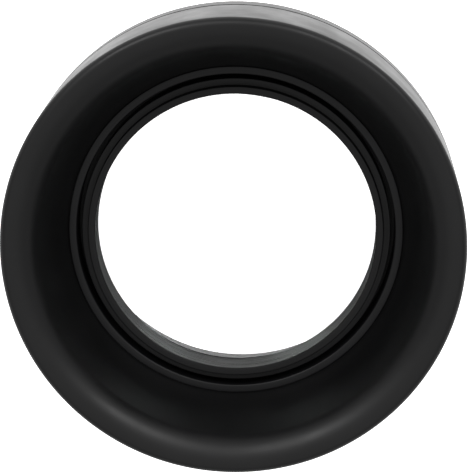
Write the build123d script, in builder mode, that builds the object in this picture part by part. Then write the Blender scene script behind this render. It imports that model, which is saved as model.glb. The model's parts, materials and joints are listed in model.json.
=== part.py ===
from build123d import *
import os
from math import cos, radians, sin, sqrt, tan

os.makedirs("parts", exist_ok=True)

# A compact 1.25-inch telescope eyepiece with a twist-up eyecup, in millimetres.
# The optical axis is +Z towards the eye, and the origin is at the centre of the barrel's open end.

# Overall sizes
overall_height = 61.0
eyecup_diameter = 46.0
bore_diameter = 28.5
barrel_diameter = 31.75
barrel_length = 24.5

# Clearances
running_gap = 0.05  # turning and sliding fits, on the radius
side_gap = 0.15  # between neighbours that move past each other
seam_gap = 0.2  # between the eyecup's skirt and the twist ring
pin_gap = 0.1  # guide screws in their grooves and keyways
neck_gap = 0.45  # between the lens cell's neck and the sleeve
lens_pocket_gap = 0.05
access_gap = 0.25  # screwdriver holes around the guide screws' heads
cut_over = 1.0  # how far a cut runs past the surface it opens

# Eyecup
bowl_depth = 8.42  # lip crest to the sleeve's top edge
skirt_depth = 9.55  # lip crest to the skirt's lower edge
lip_radius = 0.74
bowl_slope = 70.0  # of the bowl's wall, from the horizontal
bowl_step = 0.1  # how far the bowl starts below the sleeve's top edge
sleeve_lip_width = 0.82
sleeve_wall = 1.15
sleeve_end_wall = 0.35  # below the guide screws' heads
rubber_flange_width = 2.4
rubber_flange_height = 0.5
rubber_flange_drop = 0.3  # below the sleeve's top edge

# Twist-up motion
rise = 7.0
twist_angle = 100.0
screw_count = 3
screw_tip_radius = 0.9
screw_shank_radius = 1.0
screw_head_radius = 1.45
screw_head_height = 1.2
screw_slot_width = 0.35
screw_slot_depth = 0.4
groove_depth = 0.8
groove_end_wall = 1.5  # between the grooves and the lens cell's shoulder

# Twist ring
flange_height = 2.65
flange_undercut = 1.5
keyway_wall = 0.7
twist_flange_thickness = 2.0
grip_thickness = 0.8
grip_margin = 0.7
grip_flutes = 48
flute_radius = 0.45

# Lens cell
cell_top_depth = 7.92
cell_wall = 1.6
neck_wall = 1.47
collar_wall = 0.75
collar_height = 1.0
bore_length = 3.6
cell_foot_length = 4.2
thread_pitch = 0.45
thread_depth = 0.14
edge_break = 0.15

# Lenses
lens_seat_width = 1.1
doublet_thickness = 7.4
doublet_spacing = 0.8
flint_thickness = 1.3
crown_curve = 36.0
cement_curve = 60.0
gasket_thickness = 0.2
gasket_width = 0.9
spacer_wall = 0.35
retaining_ring_height = 2.6
retaining_ring_step = 0.3  # how much wider its bore is than the eye bore
spanner_slot_width = 1.2
spanner_slot_depth = 1.0

# Snap ring, washer, click stops
circlip_thickness = 0.6
circlip_width = 1.65
circlip_groove_depth = 0.65
circlip_opening = 14.0
washer_thickness = 0.65
washer_width = 0.9
click_inset = 1.9  # outside the lens cell
click_first_angle = 30.0
click_ball_radius = 0.75
click_hole_radius = 0.8
click_hole_depth = 4.0
click_dimple_depth = 0.2
click_count = 2
spring_wire_radius = 0.18
spring_wire_sides = 8
spring_turns = 6

# Body shell
shell_wall = 3.3
shell_top_height = 3.4
shell_foot_height = 1.7
band_seat_wall = 2.725
band_thickness = 0.8
band_ribs = 4
band_rib_depth = 0.3
band_rib_slope = 0.3  # share of a rib's pitch taken by each sloping side
edge_chamfer = 0.4
grub_screw_radius = 1.0
grub_socket_radius = 0.5
grub_socket_sides = 6
grub_socket_depth = 0.7
grub_height = 1.9  # above the lens cell's foot
o_ring_section = 1.0
o_ring_height = 3.4  # above the lens cell's foot

# Barrel
barrel_wall = 1.575
barrel_thread_step = 0.475
barrel_thread_length = 4.3
undercut_start = 13.5
undercut_length = 6.0
undercut_depth = 0.5
filter_thread_step = 0.37
filter_thread_length = 3.6
field_stop_step = 0.53
field_stop_height = 1.4
barrel_lead = 0.6

# Radii that follow
eyecup_radius = eyecup_diameter / 2
bore_radius = bore_diameter / 2
barrel_radius = barrel_diameter / 2
lens_radius = bore_radius + lens_seat_width
pocket_radius = lens_radius + lens_pocket_gap
cell_collar_radius = bore_radius + collar_wall
cell_neck_radius = bore_radius + neck_wall
cell_guide_radius = pocket_radius + cell_wall
retaining_ring_bore = bore_radius + retaining_ring_step
sleeve_lip_inner_radius = cell_neck_radius + neck_gap
sleeve_lip_outer_radius = sleeve_lip_inner_radius + sleeve_lip_width
sleeve_radius = cell_guide_radius + running_gap
sleeve_outer_radius = sleeve_radius + sleeve_wall
rubber_flange_radius = sleeve_outer_radius + rubber_flange_width
twist_inner_radius = sleeve_outer_radius + side_gap
keyway_radius = sleeve_outer_radius + screw_head_height + pin_gap
twist_ring_radius = keyway_radius + keyway_wall
access_hole_radius = screw_head_radius + access_gap
click_circle_radius = cell_guide_radius + click_inset
washer_seat_radius = cell_guide_radius + washer_width + running_gap
shell_top_radius = cell_guide_radius + shell_wall
band_seat_radius = barrel_radius + band_seat_wall
band_radius = band_seat_radius + band_thickness
barrel_thread_radius = barrel_radius - barrel_thread_step
barrel_bore_radius = barrel_radius - barrel_wall
filter_thread_radius = barrel_bore_radius - filter_thread_step
field_stop_radius = filter_thread_radius - field_stop_step

# Heights that follow, from the lip down
sleeve_top = overall_height - bowl_depth
skirt_bottom = overall_height - skirt_depth
flange_top = sleeve_top - rubber_flange_drop
flange_bottom = flange_top - rubber_flange_height
cell_top = overall_height - cell_top_depth
collar_foot = cell_top - collar_height
bore_bottom = cell_top - bore_length
cell_shoulder = bore_bottom - gasket_thickness
eye_flat = cell_shoulder
eye_vertex = eye_flat - doublet_thickness
field_vertex = eye_vertex - doublet_spacing
field_flat = field_vertex - doublet_thickness
retaining_ring_bottom = field_flat - retaining_ring_height
groove_half = screw_tip_radius + pin_gap
screw_height = cell_shoulder - groove_end_wall - groove_half - rise
sleeve_bottom = screw_height - screw_head_radius - sleeve_end_wall
twist_top = skirt_bottom - seam_gap
twist_flange_bottom = twist_top - flange_height
circlip_bottom = sleeve_bottom - 2 * side_gap - circlip_thickness
circlip_top = circlip_bottom + circlip_thickness
twist_ledge = circlip_bottom - side_gap
twist_bottom = twist_ledge - twist_flange_thickness
grip_top = twist_flange_bottom - flange_undercut
grip_bottom = twist_bottom + grip_margin
shell_rim = twist_bottom - side_gap
shell_top = twist_bottom - running_gap - washer_thickness
cell_bottom = shell_top - cell_foot_length
band_top = shell_top - shell_top_height - (shell_top_radius - band_radius)
band_bottom = barrel_length + shell_foot_height
barrel_top = barrel_length + barrel_thread_length

screw_angles = [index * 360 / screw_count for index in range(screw_count)]
click_angles = [click_first_angle + index * 360 / click_count for index in range(click_count)]


def turn(outline, mode=Mode.ADD):
    """Revolves a closed outline of (radius, height) points about the optical axis."""
    with BuildSketch(Plane.XZ) as section:
        with BuildLine():
            Polyline(*outline, close=True)
        make_face()
    revolve(section.sketch, axis=Axis.Z, mode=mode)


def tube(inner, outer, low, high, mode=Mode.ADD):
    """Adds or cuts a plain ring between two radii and two heights."""
    turn([(inner, low), (outer, low), (outer, high), (inner, high)], mode)


def thread_lines(radius, low, high, depth):
    """The zigzag of a fine thread in a bore, from low to high, as outline points."""
    count = int((high - low - thread_pitch) / thread_pitch)
    start = (low + high - count * thread_pitch) / 2
    points = []
    for index in range(count):
        base = start + index * thread_pitch
        points.append((radius, base))
        points.append((radius + depth, base + thread_pitch / 2))
    points.append((radius, start + count * thread_pitch))
    return points


def spoke(angle, height):
    """A plane on the optical axis whose normal points outwards at an angle and a height."""
    direction = (cos(radians(angle)), sin(radians(angle)), 0)
    return Plane(origin=(0, 0, height), x_dir=(0, 0, 1), z_dir=direction)


def radial_rod(angle, height, radius, start, end, mode=Mode.ADD):
    """A round rod or hole along a radius of the eyepiece."""
    with BuildSketch(spoke(angle, height).offset(start)) as section:
        Circle(radius)
    extrude(section.sketch, amount=end - start, mode=mode)


def sag(curve, radius):
    """Height of a spherical surface's bulge at a radius."""
    return curve - sqrt(curve * curve - radius * radius)


def finish(piece, name):
    """Labels a finished piece and writes it."""
    piece.part.label = name
    export_step(piece.part, f"parts/{name}.step")


# The eyecup, which turns and rises

with BuildPart() as eyecup_rubber:
    bowl_floor = sleeve_top - bowl_step
    lip_middle = eyecup_radius - lip_radius
    lip_base = overall_height - lip_radius
    bowl_run = lip_middle - sleeve_lip_outer_radius
    bowl_drop = overall_height - bowl_floor
    slope = radians(bowl_slope)
    bowl_round = (bowl_run * tan(slope) - bowl_drop) / (1 / cos(slope) - 1)
    with BuildSketch(Plane.XZ):
        with BuildLine():
            Polyline(
                (sleeve_lip_outer_radius, bowl_floor),
                (sleeve_lip_outer_radius, flange_top),
                (rubber_flange_radius, flange_top),
                (rubber_flange_radius, flange_bottom),
                (sleeve_outer_radius, flange_bottom),
                (sleeve_outer_radius, skirt_bottom),
                (eyecup_radius - edge_break, skirt_bottom),
                (eyecup_radius, skirt_bottom + edge_break),
                (eyecup_radius, lip_base),
            )
            EllipticalCenterArc((lip_middle, lip_base), lip_radius, lip_radius, start_angle=0, arc_size=90)
            shoulder = EllipticalCenterArc(
                (lip_middle, overall_height - bowl_round),
                bowl_round,
                bowl_round,
                start_angle=90,
                arc_size=bowl_slope,
            )
            Line(shoulder @ 1, (sleeve_lip_outer_radius, bowl_floor))
        make_face()
    revolve(axis=Axis.Z)
finish(eyecup_rubber, "eyecup_rubber")

with BuildPart() as eyecup_sleeve:
    turn([
        (sleeve_lip_inner_radius, cell_shoulder + side_gap),
        (sleeve_radius, cell_shoulder + side_gap),
        (sleeve_radius, sleeve_bottom + edge_break),
        (sleeve_radius + edge_break, sleeve_bottom),
        (sleeve_outer_radius, sleeve_bottom),
        (sleeve_outer_radius, flange_bottom),
        (rubber_flange_radius, flange_bottom),
        (rubber_flange_radius, flange_top),
        (sleeve_lip_outer_radius, flange_top),
        (sleeve_lip_outer_radius, sleeve_top - edge_break / 2),
        (sleeve_lip_outer_radius - edge_break / 2, sleeve_top),
        (sleeve_lip_inner_radius + edge_break, sleeve_top),
        (sleeve_lip_inner_radius, sleeve_top - edge_break),
    ])
    for angle in screw_angles:
        radial_rod(angle, screw_height, screw_shank_radius, sleeve_radius - cut_over,
                   rubber_flange_radius, mode=Mode.SUBTRACT)
finish(eyecup_sleeve, "eyecup_sleeve")

with BuildPart() as guide_screws:
    tip_end = cell_guide_radius - groove_depth + pin_gap
    head_end = sleeve_outer_radius + screw_head_height
    for angle in screw_angles:
        radial_rod(angle, screw_height, screw_tip_radius, tip_end, sleeve_radius)
        radial_rod(angle, screw_height, screw_shank_radius, sleeve_radius, sleeve_outer_radius)
        radial_rod(angle, screw_height, screw_head_radius, sleeve_outer_radius, head_end)
        with BuildSketch(spoke(angle, screw_height).offset(head_end)) as slot:
            Rectangle(screw_head_radius * 2 + cut_over, screw_slot_width)
        extrude(slot.sketch, amount=-screw_slot_depth, mode=Mode.SUBTRACT)
finish(guide_screws, "guide_screws")


# The twist ring, which turns in place

with BuildPart() as twist_ring:
    turn([
        (cell_guide_radius + running_gap, twist_bottom),
        (twist_ring_radius, twist_bottom),
        (twist_ring_radius, grip_top),
        (eyecup_radius - flange_undercut, grip_top),
        (eyecup_radius, twist_flange_bottom),
        (eyecup_radius, twist_top - edge_break),
        (eyecup_radius - edge_break, twist_top),
        (twist_inner_radius + edge_break, twist_top),
        (twist_inner_radius, twist_top - edge_break),
        (twist_inner_radius, twist_ledge),
        (cell_guide_radius + running_gap, twist_ledge),
    ])
    keyway_width = 2 * (screw_head_radius + pin_gap)
    for angle in screw_angles:
        keyway_plane = spoke(angle, screw_height + rise / 2).offset(cell_guide_radius)
        with BuildSketch(keyway_plane) as keyway:
            Rectangle(rise + keyway_width, keyway_width)
        extrude(keyway.sketch, amount=keyway_radius - cell_guide_radius, mode=Mode.SUBTRACT)
        radial_rod(angle, screw_height, access_hole_radius, cell_guide_radius, eyecup_radius,
                   mode=Mode.SUBTRACT)
    dimple_middle = twist_bottom + click_dimple_depth - click_hole_radius
    for angle in click_angles:
        for stop in (0, twist_angle / 2, twist_angle):
            with Locations(Vector(click_circle_radius, 0, dimple_middle).rotate(Axis.Z, angle - stop)):
                Sphere(click_hole_radius, mode=Mode.SUBTRACT)
finish(twist_ring, "twist_ring")

with BuildPart() as twist_grip:
    grip_radius = twist_ring_radius + grip_thickness
    turn([
        (twist_ring_radius, grip_bottom),
        (grip_radius - edge_break, grip_bottom),
        (grip_radius, grip_bottom + edge_break),
        (grip_radius, grip_top - edge_break),
        (grip_radius - edge_break, grip_top),
        (twist_ring_radius, grip_top),
    ])
    flute_low = grip_bottom + 2 * edge_break
    flute_high = grip_top - 2 * edge_break
    with BuildSketch(Plane.XY.offset(flute_low)) as flutes:
        with PolarLocations(grip_radius, grip_flutes):
            Circle(flute_radius)
    extrude(flutes.sketch, amount=flute_high - flute_low, mode=Mode.SUBTRACT)
finish(twist_grip, "twist_grip")


# The lens cell and the lenses

with BuildPart() as helical_groove:
    helix_plane = Plane(origin=(0, 0, screw_height))
    turn_length = cell_guide_radius * radians(twist_angle)
    start_plane = Plane(origin=(cell_guide_radius, 0, screw_height), x_dir=(1, 0, 0),
                        z_dir=(0, turn_length, rise))
    with BuildLine(helix_plane):
        groove_path = Helix(rise * 360 / twist_angle, rise, cell_guide_radius)
    with BuildSketch(start_plane) as groove_section:
        Rectangle(2 * groove_depth, 2 * groove_half)
    sweep(groove_section.sketch, path=groove_path, is_frenet=True)

with BuildPart() as lens_cell:
    bore_lines = thread_lines(bore_radius, bore_bottom + edge_break, cell_top - 2 * edge_break,
                              thread_depth)
    circlip_seat = cell_guide_radius - circlip_groove_depth
    o_ring_middle = cell_bottom + o_ring_height
    o_ring_seat = cell_guide_radius - o_ring_section
    turn([
        (pocket_radius, cell_bottom),
        (cell_guide_radius - edge_break, cell_bottom),
        (cell_guide_radius, cell_bottom + edge_break),
        (cell_guide_radius, o_ring_middle - o_ring_section / 2),
        (o_ring_seat, o_ring_middle - o_ring_section / 2),
        (o_ring_seat, o_ring_middle + o_ring_section / 2),
        (cell_guide_radius, o_ring_middle + o_ring_section / 2),
        (cell_guide_radius, circlip_bottom),
        (circlip_seat, circlip_bottom),
        (circlip_seat, circlip_top),
        (cell_guide_radius, circlip_top),
        (cell_guide_radius, cell_shoulder - edge_break),
        (cell_guide_radius - edge_break, cell_shoulder),
        (cell_neck_radius, cell_shoulder),
        (cell_neck_radius, collar_foot - edge_break),
        (cell_neck_radius - edge_break, collar_foot),
        (cell_collar_radius, collar_foot),
        (cell_collar_radius, cell_top - edge_break),
        (cell_collar_radius - edge_break, cell_top),
        (bore_radius + edge_break, cell_top),
        (bore_radius, cell_top - edge_break),
    ] + bore_lines[::-1] + [
        (bore_radius, bore_bottom),
        (pocket_radius, bore_bottom),
    ])
    for angle in screw_angles:
        add(helical_groove.part.rotate(Axis.Z, angle), mode=Mode.SUBTRACT)
        for end_angle, end_height in ((angle, screw_height), (angle + twist_angle, screw_height + rise)):
            radial_rod(end_angle, end_height, groove_half, cell_guide_radius - groove_depth,
                       cell_guide_radius + cut_over, mode=Mode.SUBTRACT)
finish(lens_cell, "lens_cell")

with BuildPart() as eye_gasket:
    tube(lens_radius - gasket_width, lens_radius, eye_flat, bore_bottom)
finish(eye_gasket, "eye_gasket")


def bulge(vertex, curve, side, radius):
    """A point at a radius on a spherical surface that starts at its vertex on the axis."""
    return (radius, vertex + side * sag(curve, radius))


def flint(flat, side):
    """The plano-concave half of a doublet: side is 1 with its flat face up, -1 with it down."""
    cement_vertex = flat - side * flint_thickness
    cement_edge = bulge(cement_vertex, cement_curve, -side, lens_radius)
    cement_middle = bulge(cement_vertex, cement_curve, -side, lens_radius / 2)
    with BuildSketch(Plane.XZ) as section:
        with BuildLine():
            Polyline((0, cement_vertex), (0, flat), (lens_radius, flat), cement_edge)
            ThreePointArc(cement_edge, cement_middle, (0, cement_vertex))
        make_face()
    revolve(section.sketch, axis=Axis.Z)


def crown(flat, side):
    """The biconvex half of a doublet, cemented to the flint."""
    cement_vertex = flat - side * flint_thickness
    cement_edge = bulge(cement_vertex, cement_curve, -side, lens_radius)
    cement_middle = bulge(cement_vertex, cement_curve, -side, lens_radius / 2)
    outer_vertex = flat - side * doublet_thickness
    outer_edge = bulge(outer_vertex, crown_curve, side, lens_radius)
    outer_middle = bulge(outer_vertex, crown_curve, side, lens_radius / 2)
    with BuildSketch(Plane.XZ) as section:
        with BuildLine():
            Line((0, outer_vertex), (0, cement_vertex))
            ThreePointArc((0, cement_vertex), cement_middle, cement_edge)
            Line(cement_edge, outer_edge)
            ThreePointArc(outer_edge, outer_middle, (0, outer_vertex))
        make_face()
    revolve(section.sketch, axis=Axis.Z)


with BuildPart() as eye_flint:
    flint(eye_flat, 1)
finish(eye_flint, "eye_flint")

with BuildPart() as eye_crown:
    crown(eye_flat, 1)
finish(eye_crown, "eye_crown")

with BuildPart() as field_crown:
    crown(field_flat, -1)
finish(field_crown, "field_crown")

with BuildPart() as field_flint:
    flint(field_flat, -1)
finish(field_flint, "field_flint")

with BuildPart() as lens_spacer:
    spacer_inner = lens_radius - spacer_wall
    contact_drop = sag(crown_curve, spacer_inner)
    tube(spacer_inner, lens_radius, field_vertex - contact_drop, eye_vertex + contact_drop)
finish(lens_spacer, "lens_spacer")

with BuildPart() as cell_retaining_ring:
    ring_bore_lines = thread_lines(retaining_ring_bore, retaining_ring_bottom + edge_break,
                                   field_flat - edge_break, thread_depth)
    turn([
        (retaining_ring_bore, retaining_ring_bottom),
        (pocket_radius, retaining_ring_bottom),
        (pocket_radius, field_flat),
        (retaining_ring_bore, field_flat),
    ] + ring_bore_lines[::-1])
    with BuildSketch(Plane.XY.offset(retaining_ring_bottom)) as spanner_slots:
        Rectangle(eyecup_diameter, spanner_slot_width)
    extrude(spanner_slots.sketch, amount=spanner_slot_depth, mode=Mode.SUBTRACT)
finish(cell_retaining_ring, "cell_retaining_ring")

with BuildPart() as cell_o_ring:
    with BuildSketch(Plane.XZ):
        with Locations((cell_guide_radius - o_ring_section / 2, o_ring_middle)):
            Circle(o_ring_section / 2)
    revolve(axis=Axis.Z)
finish(cell_o_ring, "cell_o_ring")


# What holds the twist ring and clicks under it

with BuildPart() as twist_circlip:
    tube(circlip_seat, circlip_seat + circlip_width, circlip_bottom, circlip_top)
    with BuildSketch(Plane.XY.offset(circlip_bottom)) as opening:
        with BuildLine():
            opening_start = Vector(2 * cell_guide_radius, 0).rotate(Axis.Z, -circlip_opening / 2)
            opening_end = Vector(2 * cell_guide_radius, 0).rotate(Axis.Z, circlip_opening / 2)
            Polyline((0, 0), opening_start, opening_end, close=True)
        make_face()
    extrude(opening.sketch, amount=circlip_thickness, mode=Mode.SUBTRACT)
finish(twist_circlip, "twist_circlip")

with BuildPart() as glide_washer:
    tube(cell_guide_radius, cell_guide_radius + washer_width, shell_top, shell_top + washer_thickness)
finish(glide_washer, "glide_washer")

ball_middle = twist_bottom - running_gap - click_ball_radius
spring_low = shell_top - click_hole_depth + spring_wire_radius
spring_high = ball_middle - click_ball_radius - spring_wire_radius

with BuildPart() as click_balls:
    with PolarLocations(click_circle_radius, click_count, start_angle=click_angles[0]):
        with Locations(Pos(0, 0, ball_middle)):
            Sphere(click_ball_radius)
finish(click_balls, "click_balls")

with BuildPart() as click_springs:
    spring_radius = click_ball_radius - 3 * spring_wire_radius / 2
    for angle in click_angles:
        foot = Vector(click_circle_radius, 0, spring_low).rotate(Axis.Z, angle)
        with BuildLine(Plane(origin=foot)):
            coil = Helix((spring_high - spring_low) / spring_turns, spring_high - spring_low, spring_radius)
        with BuildSketch(Plane(origin=coil @ 0, z_dir=coil % 0)) as wire:
            RegularPolygon(spring_wire_radius, spring_wire_sides)
        sweep(wire.sketch, path=coil, is_frenet=True)
finish(click_springs, "click_springs")


# The body shell

with BuildPart() as body_shell:
    turn([
        (barrel_thread_radius, barrel_length),
        (band_seat_radius - edge_chamfer, barrel_length),
        (band_radius, barrel_length + edge_chamfer + band_thickness),
        (band_radius, band_bottom),
        (band_seat_radius, band_bottom),
        (band_seat_radius, band_top),
        (band_radius, band_top),
        (shell_top_radius, shell_top - shell_top_height),
        (shell_top_radius, shell_rim - edge_chamfer),
        (shell_top_radius - edge_chamfer, shell_rim),
        (washer_seat_radius, shell_rim),
        (washer_seat_radius, shell_top),
        (cell_guide_radius, shell_top),
        (cell_guide_radius, cell_bottom),
        (barrel_thread_radius, cell_bottom),
    ])
    with PolarLocations(click_circle_radius, click_count, start_angle=click_angles[0]):
        with Locations(Pos(0, 0, shell_top - click_hole_depth)):
            Cylinder(click_hole_radius, click_hole_depth + cut_over,
                     align=(Align.CENTER, Align.CENTER, Align.MIN), mode=Mode.SUBTRACT)
    for angle in screw_angles:
        radial_rod(angle, cell_bottom + grub_height, grub_screw_radius,
                   cell_guide_radius - cut_over, shell_top_radius + cut_over, mode=Mode.SUBTRACT)
finish(body_shell, "body_shell")

with BuildPart() as body_grip_band:
    band_pitch = (band_top - band_bottom) / band_ribs
    band_outline = [(band_seat_radius, band_bottom)]
    for rib in range(band_ribs):
        rib_low = band_bottom + rib * band_pitch
        band_outline.append((band_radius - band_rib_depth, rib_low))
        band_outline.append((band_radius, rib_low + band_rib_slope * band_pitch))
        band_outline.append((band_radius, rib_low + (1 - band_rib_slope) * band_pitch))
    band_outline.append((band_radius - band_rib_depth, band_top))
    band_outline.append((band_seat_radius, band_top))
    turn(band_outline)
finish(body_grip_band, "body_grip_band")

with BuildPart() as body_grub_screws:
    grub_end = shell_top_radius - edge_chamfer
    for angle in screw_angles:
        radial_rod(angle, cell_bottom + grub_height, grub_screw_radius, cell_guide_radius, grub_end)
        with BuildSketch(spoke(angle, cell_bottom + grub_height).offset(grub_end)) as socket:
            RegularPolygon(grub_socket_radius, grub_socket_sides)
        extrude(socket.sketch, amount=-grub_socket_depth, mode=Mode.SUBTRACT)
finish(body_grub_screws, "body_grub_screws")


# The barrel

with BuildPart() as barrel:
    undercut_top = undercut_start + undercut_length
    turn([
        (filter_thread_radius, 0),
        (barrel_radius - barrel_lead, 0),
        (barrel_radius, barrel_lead),
        (barrel_radius, undercut_start),
        (barrel_radius - undercut_depth, undercut_start + undercut_depth),
        (barrel_radius - undercut_depth, undercut_top - undercut_depth),
        (barrel_radius, undercut_top),
        (barrel_radius, barrel_length),
        (barrel_thread_radius, barrel_length),
        (barrel_thread_radius, barrel_top),
        (barrel_bore_radius, barrel_top),
        (barrel_bore_radius, filter_thread_length),
        (filter_thread_radius, filter_thread_length),
    ])
finish(barrel, "barrel")

with BuildPart() as field_stop_ring:
    stop_top = filter_thread_length + field_stop_height
    turn([
        (field_stop_radius, filter_thread_length),
        (barrel_bore_radius, filter_thread_length),
        (barrel_bore_radius, stop_top),
        (field_stop_radius + field_stop_height / 2, stop_top),
    ])
    with BuildSketch(Plane.XY.offset(stop_top)) as stop_slots:
        Rectangle(eyecup_diameter, spanner_slot_width)
    extrude(stop_slots.sketch, amount=-field_stop_height / 2, mode=Mode.SUBTRACT)
finish(field_stop_ring, "field_stop_ring")
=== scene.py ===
import json
from math import ceil, cos, pi, radians, sin, sqrt, tan

import bmesh
import bpy
from mathutils import Matrix, Vector


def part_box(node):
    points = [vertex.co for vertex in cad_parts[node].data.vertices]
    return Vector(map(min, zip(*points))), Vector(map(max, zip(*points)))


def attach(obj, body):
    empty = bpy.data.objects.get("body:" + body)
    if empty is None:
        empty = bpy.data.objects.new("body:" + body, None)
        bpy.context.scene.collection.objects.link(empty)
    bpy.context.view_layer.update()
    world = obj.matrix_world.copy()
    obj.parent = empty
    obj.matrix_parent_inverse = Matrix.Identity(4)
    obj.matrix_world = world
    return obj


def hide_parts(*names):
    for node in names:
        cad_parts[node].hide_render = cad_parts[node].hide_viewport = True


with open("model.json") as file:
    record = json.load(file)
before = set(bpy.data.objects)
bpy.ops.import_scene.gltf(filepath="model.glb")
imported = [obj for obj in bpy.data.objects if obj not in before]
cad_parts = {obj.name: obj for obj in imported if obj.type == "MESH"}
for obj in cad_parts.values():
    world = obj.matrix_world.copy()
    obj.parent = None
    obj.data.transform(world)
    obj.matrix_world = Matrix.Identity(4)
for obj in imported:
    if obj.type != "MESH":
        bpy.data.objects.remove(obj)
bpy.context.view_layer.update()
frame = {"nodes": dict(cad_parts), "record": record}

MM = 0.001
TURN = 2 * pi
SEGMENTS = 256  # round a lathed piece
ROUND_STEPS = 5  # along a rounded corner
SHARP = radians(35)  # an edge that bends more than this stays crisp
TINY = 1e-6  # lengths closer than this are the same


# ------------------------------------------------------------------ sizes from the frame


def node_radius(node):
    """Outer radius of a round CAD node."""
    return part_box(node)[1].x


def node_low(node):
    """Height of a node's lowest point."""
    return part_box(node)[0].z


def node_high(node):
    """Height of a node's highest point."""
    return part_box(node)[1].z


def joint_end(name, measure):
    """The far end of a joint's range, as the record gives it."""
    for joint in frame["record"]["behaviour"]["joints"]:
        if joint["name"] == name:
            return joint[measure][1]
    raise ValueError("the frame has no joint " + name)


RISE = joint_end("eyecup_rise", "range_m")
TWIST = radians(joint_end("twist_turn", "range_deg"))
EYECUP_RADIUS = node_radius("eyecup_rubber")
LIP_HEIGHT = node_high("eyecup_rubber")
SKIRT_BOTTOM = node_low("eyecup_rubber")
LIP_ROUND = 0.74 * MM
CREST_RADIUS = EYECUP_RADIUS - LIP_ROUND
BOWL_SLOPE = 70.0  # degrees, at the foot of the bowl's wall
BORE_RADIUS = 14.25 * MM
COLLAR_RADIUS = BORE_RADIUS + 0.75 * MM
COLLAR_HEIGHT = 1.0 * MM
NECK_RADIUS = BORE_RADIUS + 1.47 * MM
GUIDE_RADIUS = node_radius("lens_cell")
CELL_TOP = node_high("lens_cell")
CELL_BOTTOM = node_low("lens_cell")
LENS_RADIUS = node_radius("eye_flint")
POCKET_RADIUS = LENS_RADIUS + 0.05 * MM
GASKET_TOP = node_high("eye_gasket")
CELL_SHOULDER = node_low("eye_gasket")
SLEEVE_TOP = node_high("eyecup_sleeve")
SLEEVE_BOTTOM = node_low("eyecup_sleeve")
SLEEVE_INNER = GUIDE_RADIUS + 0.05 * MM
SLEEVE_OUTER = SLEEVE_INNER + 1.15 * MM
SLEEVE_FLANGE = node_radius("eyecup_sleeve")
RIM_INNER = NECK_RADIUS + 0.45 * MM
RIM_OUTER = RIM_INNER + 0.82 * MM
FLANGE_TOP = SLEEVE_TOP - 0.3 * MM
FLANGE_BOTTOM = FLANGE_TOP - 0.5 * MM
SCREW_HEAD_RADIUS = 1.45 * MM
BARREL_RADIUS = node_radius("barrel")
BARREL_TOP = node_high("barrel")
SHOULDER_HEIGHT = node_low("body_shell")
THREAD_PITCH = 0.45 * MM
THREAD_DEPTH = 0.02 * MM
GRIP_RADIUS = node_radius("twist_grip")
GRIP_LOW = node_low("twist_grip")
GRIP_HIGH = node_high("twist_grip")
GRIP_INNER = GRIP_RADIUS - 0.8 * MM
BAND_RADIUS = node_radius("body_grip_band")
BAND_LOW = node_low("body_grip_band")
BAND_HIGH = node_high("body_grip_band")
BAND_SEAT = BAND_RADIUS - 0.8 * MM


# ------------------------------------------------------------------ camera


def make_camera():
    """Looks almost straight down into the bowl, tilted a little off the optical axis."""
    tilt = radians(13.6)
    roll = radians(9.2)
    distance = 10 * EYECUP_RADIUS
    focal_length = 179.0
    look_up = 1.48 * MM
    look_right = 0.15 * MM
    crest = Vector((0, 0, LIP_HEIGHT))
    side = Vector((0, -1, 0))
    back = Vector((0, 0, cos(tilt))) + side * sin(tilt)
    eye = crest + back * distance
    away = (side - back * side.dot(back)).normalized()
    across = away.cross(back)
    up = away * cos(roll) - across * sin(roll)
    right = up.cross(back)
    target = crest + up * look_up + right * look_right
    back = (eye - target).normalized()
    right = up.cross(back).normalized()
    up = back.cross(right)
    data = bpy.data.cameras.new("camera")
    data.lens = focal_length
    data.sensor_width = 36.0
    data.clip_start = 0.01
    camera = bpy.data.objects.new("camera", data)
    bpy.context.collection.objects.link(camera)
    rotation = Matrix((right, up, back)).transposed().to_4x4()
    camera.matrix_world = Matrix.Translation(eye) @ rotation
    bpy.context.scene.camera = camera
    return right, up, back


RIGHT, UP, BACK = make_camera()


# ------------------------------------------------------------------ studio


def socket(node, name, value):
    """Sets one of a node's inputs."""
    node.inputs[name].default_value = value


def make_floor():
    """A white light table, whose glow fades out round the eyepiece."""
    bpy.ops.mesh.primitive_grid_add(x_subdivisions=8, y_subdivisions=8, size=3.0, location=(0, 0, 0))
    floor = bpy.context.object
    floor.name = "light_table"
    material = bpy.data.materials.new("light_table")
    material.use_nodes = True
    shader = material.node_tree.nodes["Principled BSDF"]
    socket(shader, "Base Color", (0.8, 0.8, 0.8, 1))
    socket(shader, "Roughness", 0.6)
    socket(shader, "Specular IOR Level", 0.0)
    socket(shader, "Emission Color", (1, 1, 1, 1))
    nodes = material.node_tree.nodes
    links = material.node_tree.links
    coordinate = nodes.new("ShaderNodeTexCoord")
    reach = nodes.new("ShaderNodeVectorMath")
    reach.operation = "DISTANCE"
    reach.inputs[1].default_value = (0, 15 * MM, 0)
    fade = nodes.new("ShaderNodeMapRange")
    fade.interpolation_type = "SMOOTHSTEP"
    socket(fade, "From Min", 52 * MM)
    socket(fade, "From Max", 85 * MM)
    socket(fade, "To Min", 1.5)
    socket(fade, "To Max", 0.3)
    links.new(coordinate.outputs["Object"], reach.inputs[0])
    links.new(reach.outputs["Value"], fade.inputs["Value"])
    links.new(fade.outputs[0], shader.inputs["Emission Strength"])
    floor.data.materials.append(material)


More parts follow.
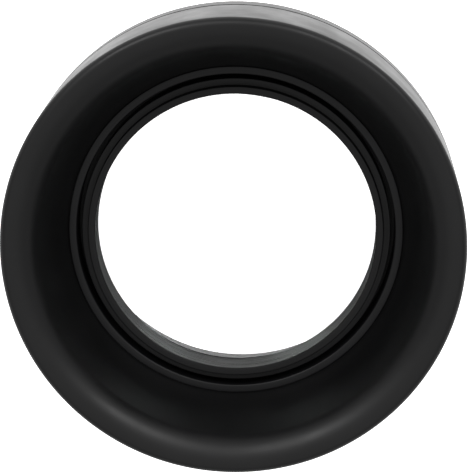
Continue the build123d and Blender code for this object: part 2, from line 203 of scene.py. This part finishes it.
def make_world():
    """Soft light from overhead and from the horizon, with a dimmer belt between them."""
    world = bpy.data.worlds.new("studio")
    world.use_nodes = True
    nodes = world.node_tree.nodes
    links = world.node_tree.links
    coordinate = nodes.new("ShaderNodeTexCoord")
    split = nodes.new("ShaderNodeSeparateXYZ")
    ramp = nodes.new("ShaderNodeValToRGB")
    glow = [(0.0, 0.5), (0.3, 0.36), (0.6, 0.26), (0.82, 0.52), (1.0, 0.5)]
    while len(ramp.color_ramp.elements) < len(glow):
        ramp.color_ramp.elements.new(0.5)
    for element, (height, level) in zip(ramp.color_ramp.elements, glow):
        element.position = height
        element.color = (level, level, level, 1)
    links.new(coordinate.outputs["Generated"], split.inputs[0])
    links.new(split.outputs["Z"], ramp.inputs[0])
    links.new(ramp.outputs[0], nodes["Background"].inputs["Color"])
    socket(nodes["Background"], "Strength", 1.0)
    bpy.context.scene.world = world


def area_light(name, direction, distance, size, power):
    """A soft square light that faces the eyepiece."""
    data = bpy.data.lights.new(name, "AREA")
    data.size = size
    data.energy = power
    light = bpy.data.objects.new(name, data)
    bpy.context.collection.objects.link(light)
    target = Vector((0, 0, LIP_HEIGHT))
    toward = direction.normalized()
    light.location = target + toward * distance
    light.rotation_euler = toward.to_track_quat("Z", "Y").to_euler()


make_floor()
make_world()
for side_name, side_way in (("left", -RIGHT), ("right", RIGHT)):
    area_light("softbox_" + side_name, side_way * 0.5 + UP * 0.6 + BACK, distance=0.6, size=0.2, power=0.75)
bpy.context.scene.view_settings.view_transform = "Standard"


# ------------------------------------------------------------------ materials


class Nodes:
    """A short way to build a material's node tree."""

    def __init__(self, name):
        self.material = bpy.data.materials.new(name)
        self.material.use_nodes = True
        self.tree = self.material.node_tree
        self.shader = self.tree.nodes["Principled BSDF"]

    def add(self, kind, **values):
        node = self.tree.nodes.new(kind)
        for key, value in values.items():
            setattr(node, key, value)
        return node

    def link(self, start, end):
        self.tree.links.new(start, end)

    def position(self):
        return self.add("ShaderNodeTexCoord").outputs["Object"]

    def noise(self, vector, scale, detail=4.0):
        node = self.add("ShaderNodeTexNoise")
        socket(node, "Scale", scale)
        socket(node, "Detail", detail)
        socket(node, "Roughness", 0.55)
        self.link(vector, node.inputs["Vector"])
        return node.outputs["Fac"]

    def map(self, value, low, high, to_low, to_high):
        node = self.add("ShaderNodeMapRange")
        socket(node, "From Min", low)
        socket(node, "From Max", high)
        socket(node, "To Min", to_low)
        socket(node, "To Max", to_high)
        self.link(value, node.inputs["Value"])
        return node.outputs[0]

    def math(self, operation, first, second=None):
        node = self.add("ShaderNodeMath", operation=operation)
        for index, value in enumerate((first, second)):
            if value is None:
                continue
            if isinstance(value, (int, float)):
                node.inputs[index].default_value = value
            else:
                self.link(value, node.inputs[index])
        return node.outputs[0]

    def ramp(self, value, stops):
        node = self.add("ShaderNodeValToRGB")
        elements = node.color_ramp.elements
        while len(elements) < len(stops):
            elements.new(0.5)
        for element, (place, colour) in zip(elements, stops):
            element.position = place
            element.color = (*colour, 1)
        self.link(value, node.inputs[0])
        return node.outputs[0]

    def bump(self, height, strength, distance, before=None):
        node = self.add("ShaderNodeBump")
        socket(node, "Strength", strength)
        socket(node, "Distance", distance)
        self.link(height, node.inputs["Height"])
        if before is not None:
            self.link(before, node.inputs["Normal"])
        return node.outputs["Normal"]

    def lathe_lines(self, pitch):
        """Fine rings about the optical axis, like the marks that a lathe tool leaves."""
        split = self.add("ShaderNodeSeparateXYZ")
        self.link(self.position(), split.inputs[0])
        x, y, z = split.outputs
        radius = self.math("SQRT", self.math("ADD", self.math("MULTIPLY", x, x), self.math("MULTIPLY", y, y)))
        angle = self.math("ARCTAN2", y, x)
        join = self.add("ShaderNodeCombineXYZ")
        self.link(self.math("MULTIPLY", radius, 1 / pitch), join.inputs[0])
        self.link(self.math("MULTIPLY", z, 1 / pitch), join.inputs[1])
        self.link(self.math("MULTIPLY", angle, 0.6), join.inputs[2])
        return self.noise(join.outputs[0], 1.0, detail=3.0)


def moulded_rubber(name, dark, light, roughness, grain):
    """Matte black rubber or soft plastic with a fine moulded grain and faint handling marks."""
    n = Nodes(name)
    place = n.position()
    patches = n.noise(place, 90.0)
    n.link(n.ramp(patches, [(0.35, dark), (0.7, light)]), n.shader.inputs["Base Color"])
    n.link(n.map(n.noise(place, 260.0), 0.3, 0.7, roughness - 0.05, roughness + 0.06),
           n.shader.inputs["Roughness"])
    fine = n.noise(place, 9000.0, detail=2.0)
    coarse = n.noise(place, 1400.0, detail=3.0)
    normal = n.bump(coarse, 0.25, grain * 3)
    n.link(n.bump(fine, 0.5, grain, normal), n.shader.inputs["Normal"])
    socket(n.shader, "IOR", 1.5)
    return n.material


def anodised(name, dark, light, roughness, line_depth, ior=1.42):
    """Black anodised aluminium with fine turning marks."""
    n = Nodes(name)
    place = n.position()
    lines = n.lathe_lines(0.12 * MM)
    patches = n.noise(place, 120.0)
    n.link(n.ramp(patches, [(0.3, dark), (0.75, light)]), n.shader.inputs["Base Color"])
    n.link(n.map(lines, 0.3, 0.7, roughness - 0.06, roughness + 0.08), n.shader.inputs["Roughness"])
    speckle = n.noise(place, 12000.0, detail=1.0)
    n.link(n.bump(lines, 0.5, line_depth, n.bump(speckle, 0.2, line_depth)), n.shader.inputs["Normal"])
    socket(n.shader, "IOR", ior)
    return n.material


def bright_metal(name, base, roughness, line_depth):
    """Plated or polished metal with faint turning marks and smudges."""
    n = Nodes(name)
    place = n.position()
    lines = n.lathe_lines(0.08 * MM)
    smudges = n.noise(place, 70.0, detail=6.0)
    shade = tuple(channel * 0.86 for channel in base)
    n.link(n.ramp(smudges, [(0.3, shade), (0.7, base)]), n.shader.inputs["Base Color"])
    n.link(n.map(smudges, 0.35, 0.75, roughness, roughness + 0.12), n.shader.inputs["Roughness"])
    n.link(n.bump(lines, 0.35, line_depth), n.shader.inputs["Normal"])
    socket(n.shader, "Metallic", 1.0)
    return n.material


def coated_glass():
    """Clear optical glass whose coating leaves only a weak, tinted reflection."""
    n = Nodes("coated_glass")
    place = n.position()
    n.link(n.ramp(n.noise(place, 40.0), [(0.3, (0.985, 0.995, 0.99)), (0.7, (1, 1, 1))]),
           n.shader.inputs["Base Color"])
    socket(n.shader, "Roughness", 0.0)
    socket(n.shader, "IOR", 1.52)
    socket(n.shader, "Transmission Weight", 1.0)
    socket(n.shader, "Specular IOR Level", 0.12)
    socket(n.shader, "Specular Tint", (0.82, 0.95, 0.9, 1))
    return n.material


RUBBER = moulded_rubber("eyecup_rubber", (0.005, 0.005, 0.0053), (0.008, 0.008, 0.0084), 0.42, 0.004 * MM)
GRIP = moulded_rubber("grip_rubber", (0.012, 0.012, 0.0125), (0.02, 0.02, 0.021), 0.6, 0.008 * MM)
SEAL = moulded_rubber("seal_rubber", (0.01, 0.01, 0.01), (0.016, 0.016, 0.016), 0.35, 0.002 * MM)
ANODISED = anodised("black_anodised", (0.006, 0.006, 0.0065), (0.010, 0.010, 0.011), 0.4, 0.002 * MM)
INNER = anodised("black_inner", (0.004, 0.004, 0.0045), (0.007, 0.007, 0.0075), 0.42, 0.001 * MM)
# Painted sheen: a lighter copy of the black anodised finish, with a raised IOR, standing in for the light
# that reaches the bore wall from the light table through the eye lens.
BORE_PAINTED_SHEEN = anodised("eye_bore_painted_sheen", (0.07, 0.07, 0.071), (0.09, 0.09, 0.092), 0.3, 0.0004 * MM, ior=1.9)
CHROME = bright_metal("barrel_chrome", (0.58, 0.585, 0.59), 0.07, 0.0008 * MM)
SCREW = bright_metal("screw_steel", (0.12, 0.12, 0.13), 0.3, 0.0012 * MM)
SPRING = bright_metal("spring_steel", (0.6, 0.6, 0.6), 0.2, 0.001 * MM)
WASHER = moulded_rubber("washer_plastic", (0.7, 0.7, 0.67), (0.8, 0.8, 0.77), 0.5, 0.003 * MM)
GLASS = coated_glass()
EDGE_BLACK = moulded_rubber("lens_edge_black", (0.006, 0.006, 0.006), (0.012, 0.012, 0.012), 0.6, 0.002 * MM)

FINISHES = {
    "eyecup_rubber": RUBBER,
    "grip_rubber": GRIP,
    "seal_rubber": SEAL,
    "black_anodised": ANODISED,
    "black_inner": INNER,
    "barrel_chrome": CHROME,
    "screw_steel": SCREW,
    "spring_steel": SPRING,
    "washer_plastic": WASHER,
    "lens_glass": GLASS,
}

SLOT_OF = {entry["node"]: entry["material_slot"] for entry in frame["record"]["subparts"]}
BODY_OF = {node: body for body, nodes in frame["record"]["behaviour"]["bodies"].items() for node in nodes}

for node, part in frame["nodes"].items():
    part.data.materials.clear()
    part.data.materials.append(FINISHES[SLOT_OF[node]])


# ------------------------------------------------------------------ mesh building


def arc(centre, radius, start, end, steps):
    """Points along a stretch of a circle, angles in degrees."""
    points = []
    for index in range(steps + 1):
        angle = radians(start + (end - start) * index / steps)
        points.append((centre[0] + radius * cos(angle), centre[1] + radius * sin(angle)))
    return points


def rounded(corners):
    """An outline of (radius, height, rounding) corners, each turned into a small arc."""
    points = []
    count = len(corners)
    for index, (x, y, size) in enumerate(corners):
        here = Vector((x, y))
        if size == 0:
            points.append((x, y))
            continue
        before = (Vector(corners[index - 1][:2]) - here).normalized()
        after = (Vector(corners[(index + 1) % count][:2]) - here).normalized()
        half = before.angle(after) / 2
        centre = here + (before + after).normalized() * size / sin(half)
        start = (here + before * size / tan(half) - centre).normalized()
        end = (here + after * size / tan(half) - centre).normalized()
        for step in range(ROUND_STEPS + 1):
            point = centre + start.slerp(end, step / ROUND_STEPS) * size
            points.append((point.x, point.y))
    return points


def fine(start, end, step):
    """Evenly spaced points from start up to end, without the end itself."""
    count = ceil((Vector(end) - Vector(start)).length / step)
    return [tuple(Vector(start).lerp(Vector(end), index / count)) for index in range(count)]


def lathe(name, outline, segments=SEGMENTS, shape=None):
    """Turns (radius, height) points into a closed solid. shape(radius, angle, height) may change a radius."""
    mesh = bmesh.new()
    rings = []
    for radius, height in outline:
        if radius < TINY:
            rings.append([mesh.verts.new((0, 0, height))] * segments)
            continue
        ring = []
        for index in range(segments):
            angle = TURN * index / segments
            reach = shape(radius, angle, height) if shape else radius
            ring.append(mesh.verts.new((reach * cos(angle), reach * sin(angle), height)))
        rings.append(ring)
    for first, second in zip(rings, rings[1:] + rings[:1]):
        for index in range(segments):
            step = (index + 1) % segments
            corners = []
            for vert in (first[index], first[step], second[step], second[index]):
                if vert not in corners:
                    corners.append(vert)
            if len(corners) > 2:
                mesh.faces.new(corners)
    bmesh.ops.recalc_face_normals(mesh, faces=mesh.faces)
    for edge in mesh.edges:
        edge.smooth = len(edge.link_faces) == 2 and edge.calc_face_angle(0.0) < SHARP
    for face in mesh.faces:
        face.smooth = True
    data = bpy.data.meshes.new(name)
    mesh.to_mesh(data)
    mesh.free()
    piece = bpy.data.objects.new(name, data)
    bpy.context.collection.objects.link(piece)
    return piece


def settle(piece, *nodes):
    """Gives a piece the body, slot and finish of the CAD nodes that it stands for."""
    name = SLOT_OF[nodes[0]]
    piece.data.materials.append(FINISHES[name])
    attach(piece, BODY_OF[nodes[0]])
    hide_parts(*nodes)


def second_finish(piece, material, chosen):
    """Gives another material to the faces that chosen(radius, height) picks by their middles."""
    piece.data.materials.append(material)
    for face in piece.data.polygons:
        reach = Vector((face.center.x, face.center.y)).length
        face.material_index = int(chosen(reach, face.center.z))


def tooth(turns):
    """A rounded screw-thread profile from 0 at the crest to 1 at the root."""
    return 0.5 - 0.5 * cos(TURN * turns)


def internal_thread(radius, low, high, pitch, depth):
    """Cuts a helical thread into a bore between two heights, fading out at both ends."""
    def shape(reach, angle, height):
        if abs(reach - radius) > TINY or not low < height < high:
            return reach
        fade = min(1, (height - low) / pitch, (high - height) / pitch)
        return reach + depth * fade * tooth(height / pitch + angle / TURN)
    return shape


# ------------------------------------------------------------------ eyecup


def make_bowl():
    """The rubber eyecup: a wide trumpet mouth with a small rolled lip."""
    floor = SLEEVE_TOP - 0.1 * MM
    lip_base = LIP_HEIGHT - LIP_ROUND
    outline = rounded([
        (SLEEVE_OUTER, SKIRT_BOTTOM, 0),
        (EYECUP_RADIUS, SKIRT_BOTTOM, 0.18 * MM),
        (EYECUP_RADIUS, lip_base, 0),
    ])
    outline += arc((CREST_RADIUS, lip_base), LIP_ROUND, 0, 90, 12)[1:]
    slope = radians(BOWL_SLOPE)
    bowl_run = CREST_RADIUS - RIM_OUTER
    bowl_round = (bowl_run * tan(slope) - LIP_HEIGHT + floor) / (1 / cos(slope) - 1)
    outline += arc((CREST_RADIUS, LIP_HEIGHT - bowl_round), bowl_round, 90, 90 + BOWL_SLOPE, 40)[1:]
    outline += [(RIM_OUTER, floor), (RIM_OUTER, FLANGE_TOP), (SLEEVE_FLANGE, FLANGE_TOP)]
    outline += [(SLEEVE_FLANGE, FLANGE_BOTTOM), (SLEEVE_OUTER, FLANGE_BOTTOM)]
    settle(lathe("eyecup_bowl", outline), "eyecup_rubber")


def make_sleeve():
    """The metal sleeve, of which only the rim round the eye lens shows."""
    lip_bottom = CELL_SHOULDER + 0.15 * MM
    outline = rounded([
        (RIM_INNER, lip_bottom, 0),
        (SLEEVE_INNER, lip_bottom, 0),
        (SLEEVE_INNER, SLEEVE_BOTTOM, 0.1 * MM),
        (SLEEVE_OUTER, SLEEVE_BOTTOM, 0.1 * MM),
        (SLEEVE_OUTER, FLANGE_BOTTOM, 0),
        (SLEEVE_FLANGE, FLANGE_BOTTOM, 0),
        (SLEEVE_FLANGE, FLANGE_TOP, 0),
        (RIM_OUTER, FLANGE_TOP, 0),
        (RIM_OUTER, SLEEVE_TOP, 0.12 * MM),
        (RIM_INNER, SLEEVE_TOP, 0.16 * MM),
    ])
    settle(lathe("turned_sleeve", outline), "eyecup_sleeve")


make_bowl()
make_sleeve()


# ------------------------------------------------------------------ lens cell and lenses


def make_cell():
    """The lens cell, with a finely threaded bore over the eye lens and three helical grooves outside."""
    collar_foot = CELL_TOP - COLLAR_HEIGHT
    thread_low = GASKET_TOP + 0.1 * MM
    thread_high = CELL_TOP - 0.2 * MM
    snap_low = node_low("twist_circlip")
    snap_high = node_high("twist_circlip")
    seal_low = node_low("cell_o_ring")
    seal_high = node_high("cell_o_ring")
    seal_floor = GUIDE_RADIUS - 1.0 * MM
    snap_floor = GUIDE_RADIUS - 0.65 * MM
    outline = rounded([
        (POCKET_RADIUS, CELL_BOTTOM, 0),
        (GUIDE_RADIUS, CELL_BOTTOM, 0.12 * MM),
        (GUIDE_RADIUS, seal_low, 0),
        (seal_floor, seal_low, 0),
        (seal_floor, seal_high, 0),
        (GUIDE_RADIUS, seal_high, 0),
        (GUIDE_RADIUS, snap_low, 0),
        (snap_floor, snap_low, 0),
        (snap_floor, snap_high, 0),
        (GUIDE_RADIUS, snap_high, 0),
    ])
    outline += fine((GUIDE_RADIUS, snap_high), (GUIDE_RADIUS, CELL_SHOULDER), 0.1 * MM)[1:]
    outline += rounded([
        (GUIDE_RADIUS, CELL_SHOULDER, 0),
        (NECK_RADIUS, CELL_SHOULDER, 0),
        (NECK_RADIUS, collar_foot, 0.12 * MM),
        (COLLAR_RADIUS, collar_foot, 0.05 * MM),
        (COLLAR_RADIUS, CELL_TOP, 0.12 * MM),
        (BORE_RADIUS, CELL_TOP, 0.1 * MM),
        (BORE_RADIUS, thread_high, 0),
    ])
    outline += fine((BORE_RADIUS, thread_high), (BORE_RADIUS, GASKET_TOP), THREAD_PITCH / 12)[1:]
    outline += [(BORE_RADIUS, GASKET_TOP), (POCKET_RADIUS, GASKET_TOP)]
    thread = internal_thread(BORE_RADIUS, thread_low, thread_high, THREAD_PITCH, THREAD_DEPTH)
    groove_count = 3
    groove_start = node_low("guide_screws") + SCREW_HEAD_RADIUS
    groove_half = 1.0 * MM
    groove_floor = GUIDE_RADIUS - 0.8 * MM
    round_end = 0.2  # radians before a groove's start that its rounded end may reach

    def shape(radius, angle, height):
        if abs(radius - GUIDE_RADIUS) > TINY or height < snap_high:
            return thread(radius, angle, height)
        for index in range(groove_count):
            along = (angle - index * TURN / groove_count) % TURN
            reach = min(along, TWIST) if along < TURN - round_end else 0
            across = height - groove_start - RISE * reach / TWIST
            beside = GUIDE_RADIUS * min(abs(along - reach), abs(along - reach - TURN))
            if sqrt(across * across + beside * beside) < groove_half:
                return groove_floor
        return radius

    piece = lathe("threaded_lens_cell", outline, shape=shape)
    settle(piece, "lens_cell")
    # The bore wall over the eye lens takes the lighter anodised copy, a painted sheen in place of the light
    # that falls on it through the eye lens.
    painted_sheen_wall = BORE_RADIUS + THREAD_DEPTH * 2
    second_finish(piece, BORE_PAINTED_SHEEN, lambda reach, height: reach < painted_sheen_wall and height < thread_high)


def make_doublet(name, flat, vertex, flint, crown):
    """A cemented pair of lenses as one polished solid: flat on one side, bulging on the other."""
    side = 1 if flat > vertex else -1
    curve = 36.0 * MM
    bevel = 0.12 * MM
    edge_drop = curve - sqrt(curve * curve - (LENS_RADIUS - bevel) ** 2)
    outline = [(0, flat), (LENS_RADIUS - bevel, flat), (LENS_RADIUS, flat - side * bevel)]
    outline.append((LENS_RADIUS, vertex + side * (edge_drop + bevel)))
    steps = 64
    for index in range(steps + 1):
        radius = (LENS_RADIUS - bevel) * (1 - index / steps)
        outline.append((radius, vertex + side * (curve - sqrt(curve * curve - radius * radius))))
    piece = lathe(name, outline)
    settle(piece, flint, crown)
    second_finish(piece, EDGE_BLACK, lambda reach, height: reach > LENS_RADIUS - bevel * 0.9)


make_cell()
make_doublet("eye_doublet_glass", node_high("eye_flint"), node_low("eye_crown"), "eye_flint", "eye_crown")
make_doublet(
    "field_doublet_glass", node_low("field_flint"), node_high("field_crown"), "field_flint", "field_crown")


# ------------------------------------------------------------------ grips and barrel


def make_grip():
    """The twist ring's rubber grip: rounded ribs all round between two plain rims."""
    ribs = 48
    groove = 0.42 * MM
    margin = 0.9 * MM
    rim_low = GRIP_LOW + 0.4 * MM
    rim_high = GRIP_HIGH - 0.4 * MM
    plain_rim = 0.45 * MM
    outline = rounded([
        (GRIP_INNER, GRIP_LOW, 0),
        (GRIP_RADIUS, GRIP_LOW, 0.2 * MM),
        (GRIP_RADIUS, rim_low, 0),
    ])
    outline += fine((GRIP_RADIUS, rim_low), (GRIP_RADIUS, rim_high), 0.15 * MM)[1:]
    outline += rounded([
        (GRIP_RADIUS, rim_high, 0),
        (GRIP_RADIUS, GRIP_HIGH, 0.2 * MM),
        (GRIP_INNER, GRIP_HIGH, 0),
    ])

    def shape(radius, angle, height):
        if radius < (GRIP_INNER + GRIP_RADIUS) / 2:
            return radius
        inside = min(height - GRIP_LOW, GRIP_HIGH - height) - plain_rim
        fade = min(1, max(0, inside / margin))
        fade = sqrt(1 - (1 - fade) ** 2)
        valley = abs(cos(ribs * angle / 2)) ** 4
        return radius - groove * fade * valley

    settle(lathe("ribbed_twist_grip", outline, segments=ribs * 16, shape=shape), "twist_grip")


def make_band():
    """The body's rubber band, with four rounded rings."""
    rings = 4
    valley = 0.32 * MM
    pitch = (BAND_HIGH - BAND_LOW) / rings
    outline = [(BAND_SEAT, BAND_LOW)]
    steps = 16 * rings
    for index in range(steps + 1):
        height = BAND_LOW + (BAND_HIGH - BAND_LOW) * index / steps
        wave = abs(sin(pi * (height - BAND_LOW) / pitch)) ** 0.6
        outline.append((BAND_RADIUS - valley * (1 - wave), height))
    outline.append((BAND_SEAT, BAND_HIGH))
    settle(lathe("ringed_body_band", outline), "body_grip_band")


def make_barrel():
    """The chromed barrel, with a safety undercut outside and a filter thread and baffle rings inside."""
    thread_radius = BARREL_RADIUS - 0.475 * MM
    bore = BARREL_RADIUS - 1.575 * MM
    filter_radius = bore - 0.37 * MM
    filter_top = node_low("field_stop_ring")
    stop_top = node_high("field_stop_ring")
    groove_low = 13.5 * MM
    groove_high = groove_low + 6.0 * MM
    groove_depth = 0.5 * MM
    lead_in = 0.6 * MM
    outline = rounded([
        (filter_radius, 0, 0.15 * MM),
        (BARREL_RADIUS - lead_in, 0, 0.12 * MM),
        (BARREL_RADIUS, lead_in, 0.3 * MM),
        (BARREL_RADIUS, groove_low, 0.1 * MM),
        (BARREL_RADIUS - groove_depth, groove_low + groove_depth, 0.15 * MM),
        (BARREL_RADIUS - groove_depth, groove_high - groove_depth, 0.15 * MM),
        (BARREL_RADIUS, groove_high, 0.1 * MM),
        (BARREL_RADIUS, SHOULDER_HEIGHT, 0),
        (thread_radius, SHOULDER_HEIGHT, 0),
        (thread_radius, BARREL_TOP, 0),
        (bore, BARREL_TOP, 0),
    ])
    baffle_pitch = 0.5 * MM
    baffle_depth = 0.16 * MM
    baffles_end = stop_top + 0.3 * MM
    height = BARREL_TOP - 0.4 * MM
    while height - baffle_pitch > baffles_end:
        outline.append((bore, height))
        outline.append((bore + baffle_depth, height - baffle_pitch / 2))
        height -= baffle_pitch
    outline += [(bore, height), (bore, filter_top), (filter_radius, filter_top)]
    thread_low = 0.2 * MM
    thread_high = filter_top - 0.1 * MM
    outline += fine((filter_radius, filter_top), (filter_radius, thread_low), 0.05 * MM)[1:]
    thread = internal_thread(filter_radius, thread_low, thread_high, pitch=0.6 * MM, depth=0.25 * MM)
    piece = lathe("chromed_barrel", outline, shape=thread)
    settle(piece, "barrel")
    inner_wall = bore + 0.2 * MM
    black_from = 0.4 * MM
    second_finish(piece, INNER, lambda reach, height: reach < inner_wall and height > black_from)


make_grip()
make_band()
make_barrel()
